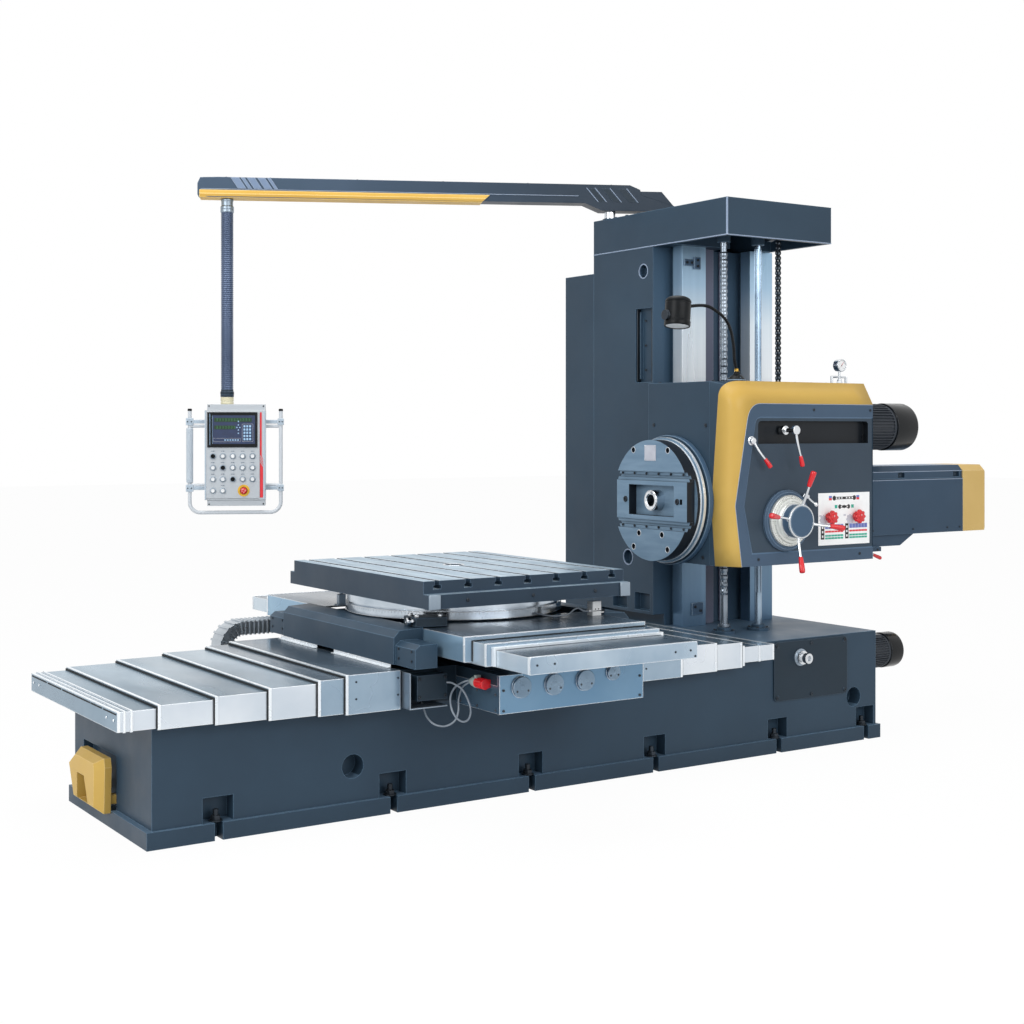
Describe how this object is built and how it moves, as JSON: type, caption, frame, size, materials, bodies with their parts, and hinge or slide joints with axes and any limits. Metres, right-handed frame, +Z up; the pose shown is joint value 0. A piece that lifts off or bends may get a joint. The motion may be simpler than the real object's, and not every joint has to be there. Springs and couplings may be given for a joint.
{
  "type": "horizontal boring machine",
  "caption": "Horizontal boring machine with a rotary table, telescopic way covers, a facing head on a column and a swinging control pendant",
  "frame": {"origin": "centre of the bed's flat underside", "axes": "+X runs along the bed to the column, +Y away from the operator's side, +Z up"},
  "size_m": [5.668, 3.2597, 3.151],
  "materials": {
    "blue_paint": "semi-gloss slate blue-grey machine paint",
    "dark_paint": "dark blue-grey machine paint",
    "mustard_paint": "semi-gloss mustard yellow trim paint",
    "cover_steel": "light brushed sheet steel",
    "ground_steel": "ground and turned steel",
    "bright_chrome": "polished chrome",
    "black_motor": "black motor paint",
    "red_plastic": "glossy red",
    "white_paint": "white powder coat",
    "button_white": "glossy off-white",
    "black_plastic": "matt black",
    "lever_chrome": "polished chrome with red grips"
  },
  "bodies": {
    "machine": {"bed": "blue_paint", "lifting_bracket": "mustard_paint", "feed_gearbox_cover": "dark_paint", "bed_feed_motor": "black_motor", "column": "blue_paint", "column_guideways": "ground_steel", "column_cap": "blue_paint", "column_rear_box": "blue_paint", "fixed_bed_covers": "cover_steel"},
    "left_cover_2": {"left_cover_2": "cover_steel"},
    "left_cover_3": {"left_cover_3": "cover_steel"},
    "left_cover_4": {"left_cover_4": "cover_steel"},
    "right_cover_2": {"right_cover_2": "cover_steel"},
    "right_cover_3": {"right_cover_3": "cover_steel"},
    "saddle": {"saddle": "dark_paint", "saddle_covers": "cover_steel", "saddle_gearbox": "cover_steel", "saddle_cable_plugs": "black_plastic"},
    "cable_carrier": {"cable_carrier": "cover_steel"},
    "front_cover_2": {"front_cover_2": "cover_steel"},
    "cross_slide": {"cross_slide": "blue_paint", "cross_slide_covers": "cover_steel", "table_bearing_ring": "ground_steel", "limit_switch": "white_paint"},
    "rotary_table": {"rotary_table": "blue_paint"},
    "crank_shaft": {"crank_shaft": "bright_chrome"},
    "bed_leadscrew": {"bed_leadscrew": "ground_steel"},
    "cross_leadscrew": {"cross_leadscrew": "ground_steel"},
    "vertical_leadscrew": {"vertical_leadscrew": "bright_chrome"},
    "splined_feed_shaft": {"splined_feed_shaft": "bright_chrome"},
    "chain_sprocket": {"chain_sprocket": "dark_paint"},
    "counterweight": {"counterweight": "dark_paint"},
    "headstock": {"headstock": "blue_paint", "headstock_trim": "mustard_paint", "control_panel": "blue_paint", "spindle_motor": "black_motor", "tail_housing": "blue_paint", "tail_end_cap": "mustard_paint", "pressure_gauge": "bright_chrome", "counterweight_chain": "dark_paint"},
    "faceplate": {"faceplate": "ground_steel"},
    "facing_slide": {"facing_slide": "ground_steel"},
    "boring_spindle": {"boring_spindle": "ground_steel"},
    "capstan": {"capstan": "lever_chrome"},
    "speed_lever_left": {"speed_lever_left": "lever_chrome"},
    "speed_lever_right": {"speed_lever_right": "lever_chrome"},
    "feed_lever_small": {"feed_lever_small": "lever_chrome"},
    "star_knob_left": {"star_knob_left": "red_plastic"},
    "star_knob_right": {"star_knob_right": "red_plastic"},
    "lower_lever": {"lower_lever": "lever_chrome"},
    "work_lamp": {"work_lamp": "black_plastic"},
    "boom_arm": {"boom_arm": "blue_paint"},
    "pendant": {"conduit": "cover_steel", "pendant_box": "white_paint", "pendant_frame": "white_paint"},
    "push_buttons": {"push_buttons": "button_white"},
    "mode_selector": {"mode_selector": "black_plastic"},
    "axis_selector": {"axis_selector": "black_plastic"},
    "speed_selector": {"speed_selector": "black_plastic"},
    "emergency_stop": {"emergency_stop": "red_plastic"}
  },
  "joints": [
    {"name": "saddle_slide", "type": "slide", "parent": "machine", "child": "saddle", "axis": [1, 0, 0], "range_m": [-0.7, 0.3]},
    {"name": "cross_slide_travel", "type": "slide", "parent": "saddle", "child": "cross_slide", "axis": [0, 1, 0], "range_m": [-0.3, 0.3]},
    {"name": "table_rotation", "type": "hinge", "parent": "cross_slide", "child": "rotary_table", "pos_m": [-0.35, 0, 0.915], "axis": [0, 0, 1], "continuous": true},
    {"name": "headstock_slide", "type": "slide", "parent": "machine", "child": "headstock", "axis": [0, 0, 1], "range_m": [-0.2, 0.6], "deforming": ["counterweight_chain"]},
    {"name": "facing_head_spin", "type": "hinge", "parent": "headstock", "child": "faceplate", "pos_m": [0.885, 0, 1.32], "axis": [1, 0, 0], "continuous": true},
    {"name": "facing_slide_feed", "type": "slide", "parent": "faceplate", "child": "facing_slide", "axis": [0, 1, 0], "range_m": [-0.12, 0.12]},
    {"name": "spindle_feed", "type": "slide", "parent": "faceplate", "child": "boring_spindle", "axis": [-1, 0, 0], "range_m": [0, 0.55]},
    {"name": "capstan_turn", "type": "hinge", "parent": "headstock", "child": "capstan", "pos_m": [1.4, -0.496, 1.22], "axis": [0, 1, 0], "continuous": true},
    {"name": "left_speed_lever", "type": "hinge", "parent": "headstock", "child": "speed_lever_left", "pos_m": [1.155, -0.5, 1.642], "axis": [0, 1, 0], "range_deg": [-30, 30]},
    {"name": "right_speed_lever", "type": "hinge", "parent": "headstock", "child": "speed_lever_right", "pos_m": [1.398, -0.56, 1.697], "axis": [0, 1, 0], "range_deg": [-30, 30]},
    {"name": "small_feed_lever", "type": "hinge", "parent": "headstock", "child": "feed_lever_small", "pos_m": [1.524, -0.5, 1.345], "axis": [0, 1, 0], "range_deg": [-20, 20]},
    {"name": "left_star_knob", "type": "hinge", "parent": "headstock", "child": "star_knob_left", "pos_m": [1.712, -0.49, 1.227], "axis": [0, 1, 0], "range_deg": [-150, 150]},
    {"name": "right_star_knob", "type": "hinge", "parent": "headstock", "child": "star_knob_right", "pos_m": [1.918, -0.49, 1.227], "axis": [0, 1, 0], "range_deg": [-150, 150]},
    {"name": "clamp_lever", "type": "hinge", "parent": "headstock", "child": "lower_lever", "pos_m": [2.33, -0.14, 0.999], "axis": [0, 1, 0], "range_deg": [-15, 25]},
    {"name": "lamp_swivel", "type": "hinge", "parent": "headstock", "child": "work_lamp", "pos_m": [1.192, -0.345, 1.955], "axis": [0, 0, 1], "range_deg": [-5, 90]},
    {"name": "bed_screw_turn", "type": "hinge", "parent": "machine", "child": "bed_leadscrew", "pos_m": [1.24, 0, 0.44], "axis": [1, 0, 0], "continuous": true},
    {"name": "crank_turn", "type": "hinge", "parent": "machine", "child": "crank_shaft", "pos_m": [1.5, -0.497, 0.49], "axis": [0, 1, 0], "continuous": true},
    {"name": "cross_screw_turn", "type": "hinge", "parent": "saddle", "child": "cross_leadscrew", "pos_m": [-0.35, 1.06, 0.64], "axis": [0, 1, 0], "continuous": true},
    {"name": "vertical_screw_turn", "type": "hinge", "parent": "machine", "child": "vertical_leadscrew", "pos_m": [1.3, -0.12, 0.59], "axis": [0, 0, 1], "continuous": true},
    {"name": "splined_shaft_turn", "type": "hinge", "parent": "machine", "child": "splined_feed_shaft", "pos_m": [1.55, -0.12, 0.59], "axis": [0, 0, 1], "continuous": true},
    {"name": "sprocket_turn", "type": "hinge", "parent": "machine", "child": "chain_sprocket", "pos_m": [1.7, -0.05, 2.82], "axis": [1, 0, 0], "continuous": true},
    {"name": "counterweight_travel", "type": "slide", "parent": "machine", "child": "counterweight", "axis": [0, 0, 1], "range_m": [-0.6, 0.2]},
    {"name": "left_cover_2_slide", "type": "slide", "parent": "machine", "child": "left_cover_2", "axis": [1, 0, 0], "range_m": [-0.12, 0.06]},
    {"name": "left_cover_3_slide", "type": "slide", "parent": "machine", "child": "left_cover_3", "axis": [1, 0, 0], "range_m": [-0.32, 0.15]},
    {"name": "left_cover_4_slide", "type": "slide", "parent": "machine", "child": "left_cover_4", "axis": [1, 0, 0], "range_m": [-0.52, 0.23]},
    {"name": "right_cover_2_slide", "type": "slide", "parent": "machine", "child": "right_cover_2", "axis": [1, 0, 0], "range_m": [-0.3, 0.14]},
    {"name": "right_cover_3_slide", "type": "slide", "parent": "machine", "child": "right_cover_3", "axis": [1, 0, 0], "range_m": [-0.57, 0.25]},
    {"name": "carrier_travel", "type": "slide", "parent": "machine", "child": "cable_carrier", "axis": [1, 0, 0], "range_m": [-0.36, 0.16]},
    {"name": "front_cover_2_slide", "type": "slide", "parent": "saddle", "child": "front_cover_2", "axis": [0, 1, 0], "range_m": [-0.22, 0.22]},
    {"name": "boom_swing", "type": "hinge", "parent": "machine", "child": "boom_arm", "pos_m": [1.252, 0.848, 3.03], "axis": [0, 0, 1], "range_deg": [-30, 105]},
    {"name": "pendant_swivel", "type": "hinge", "parent": "boom_arm", "child": "pendant", "pos_m": [-0.76849, 1.83346, 3.03], "axis": [0, 0, 1], "range_deg": [-150, 150]},
    {"name": "button_press", "type": "slide", "parent": "pendant", "child": "push_buttons", "axis": [0.4384, 0.8988, 0], "range_m": [0, 0.004], "stiffness_N_per_m": 1500},
    {"name": "mode_selector_turn", "type": "hinge", "parent": "pendant", "child": "mode_selector", "pos_m": [-0.86444, 1.81239, 1.548], "axis": [0.4384, 0.8988, 0], "range_deg": [-60, 60]},
    {"name": "axis_selector_turn", "type": "hinge", "parent": "pendant", "child": "axis_selector", "pos_m": [-0.8141, 1.78784, 1.482], "axis": [0.4384, 0.8988, 0], "range_deg": [-60, 60]},
    {"name": "speed_selector_turn", "type": "hinge", "parent": "pendant", "child": "speed_selector", "pos_m": [-0.76377, 1.76329, 1.416], "axis": [0.4384, 0.8988, 0], "range_deg": [-60, 60]},
    {"name": "emergency_stop_press", "type": "slide", "parent": "pendant", "child": "emergency_stop", "axis": [0.4384, 0.8988, 0], "range_m": [0, 0.006], "stiffness_N_per_m": 1500}
  ],
  "couplings": [
    {"joint": "capstan_turn", "follows": "spindle_feed", "rad_per_m": 41.9},
    {"joint": "bed_screw_turn", "follows": "saddle_slide", "rad_per_m": 314.16},
    {"joint": "crank_turn", "follows": "saddle_slide", "rad_per_m": 125.66},
    {"joint": "cross_screw_turn", "follows": "cross_slide_travel", "rad_per_m": 628.32},
    {"joint": "vertical_screw_turn", "follows": "headstock_slide", "rad_per_m": 523.6},
    {"joint": "splined_shaft_turn", "follows": "headstock_slide", "rad_per_m": 261.8},
    {"joint": "sprocket_turn", "follows": "headstock_slide", "rad_per_m": 14.286},
    {"joint": "counterweight_travel", "follows": "headstock_slide", "ratio": -1},
    {"joint": "left_cover_2_slide", "follows": "saddle_slide", "ratio": 0.136},
    {"joint": "left_cover_3_slide", "follows": "saddle_slide", "ratio": 0.436},
    {"joint": "left_cover_4_slide", "follows": "saddle_slide", "ratio": 0.724},
    {"joint": "right_cover_2_slide", "follows": "saddle_slide", "ratio": 0.42},
    {"joint": "right_cover_3_slide", "follows": "saddle_slide", "ratio": 0.8},
    {"joint": "carrier_travel", "follows": "saddle_slide", "ratio": 0.5},
    {"joint": "front_cover_2_slide", "follows": "cross_slide_travel", "ratio": 0.7}
  ]
}
